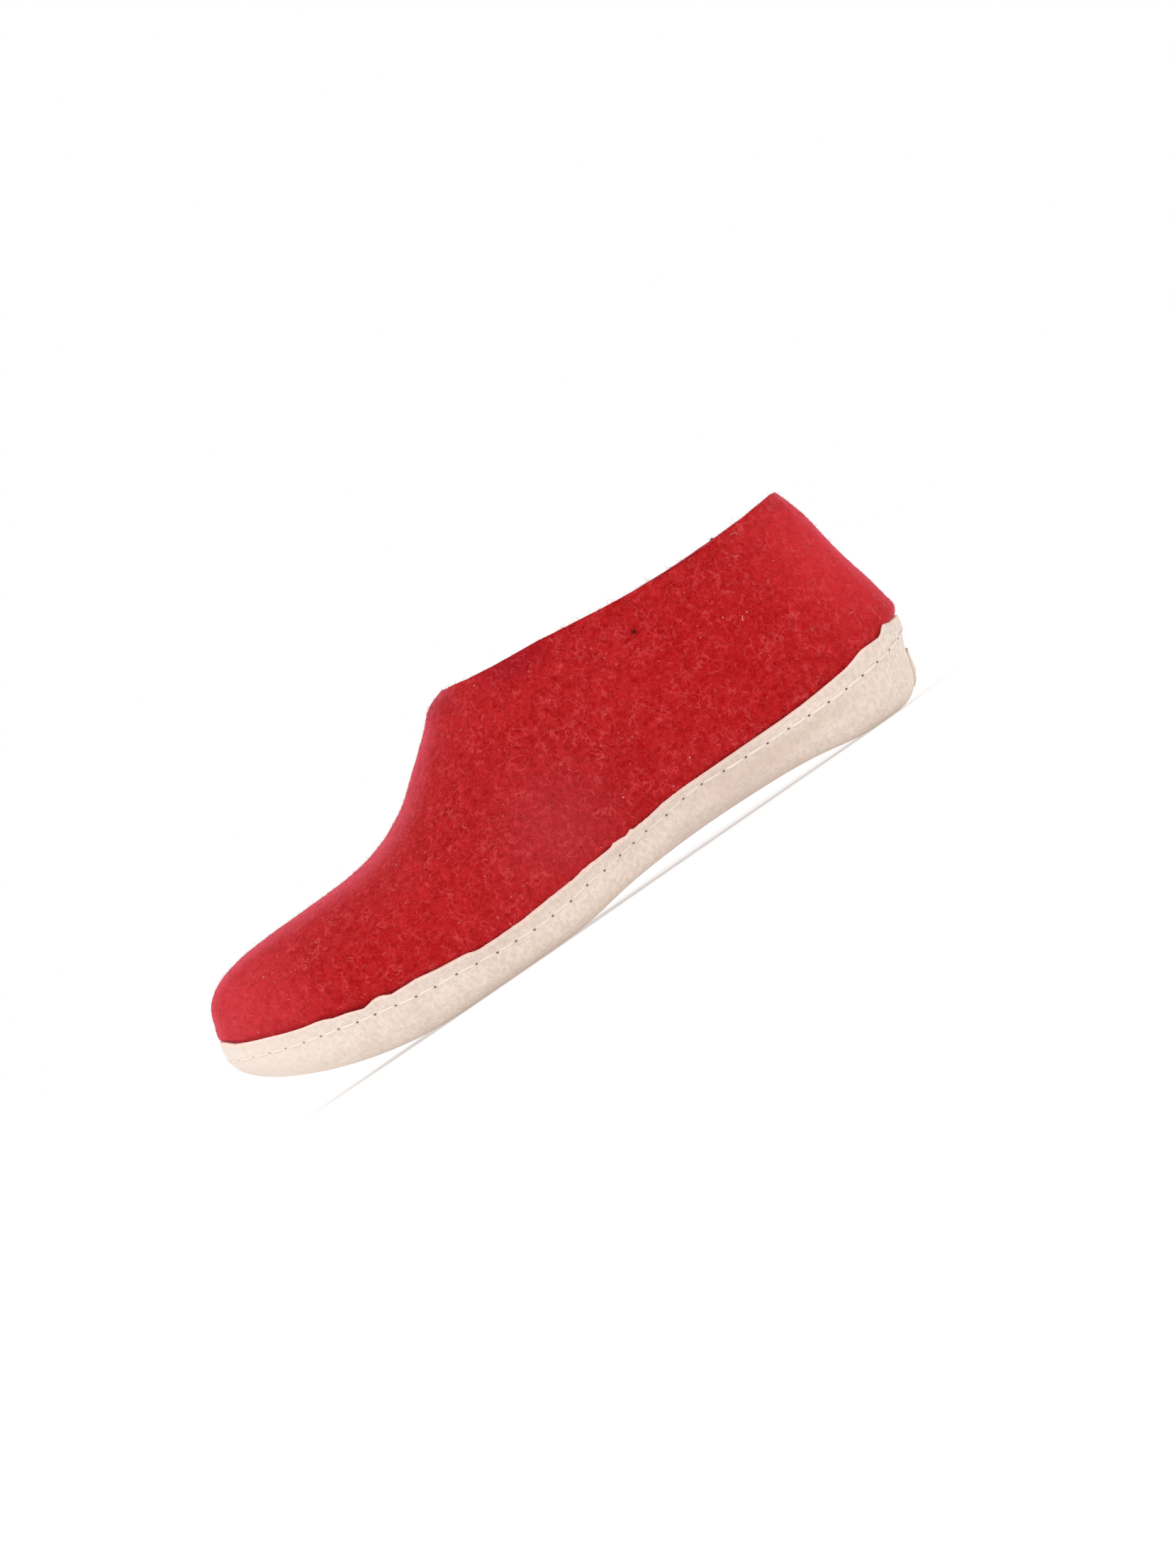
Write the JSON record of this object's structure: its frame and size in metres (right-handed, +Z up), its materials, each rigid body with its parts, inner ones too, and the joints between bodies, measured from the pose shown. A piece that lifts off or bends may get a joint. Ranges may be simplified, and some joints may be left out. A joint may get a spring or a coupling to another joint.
{
  "type": "house slipper",
  "caption": "Slip-on house slipper: seamless red wool felt upper with a pale suede cup sole turned up and stitched around its edge.",
  "frame": {"origin": "on the ground, under the middle of the slipper's box", "axes": "-Y towards the toe, +Y towards the heel, +X towards the outer side of the left foot, +Z up"},
  "size_m": [0.1014, 0.262, 0.09],
  "materials": {
    "upper_felt": "felted wool, matte, with a short curly nap",
    "insole_felt": "felted wool, matte",
    "sole_suede": "cream suede, napped side out"
  },
  "bodies": {
    "root": {"upper": "upper_felt", "insole": "insole_felt", "sole": "sole_suede"}
  },
  "joints": []
}
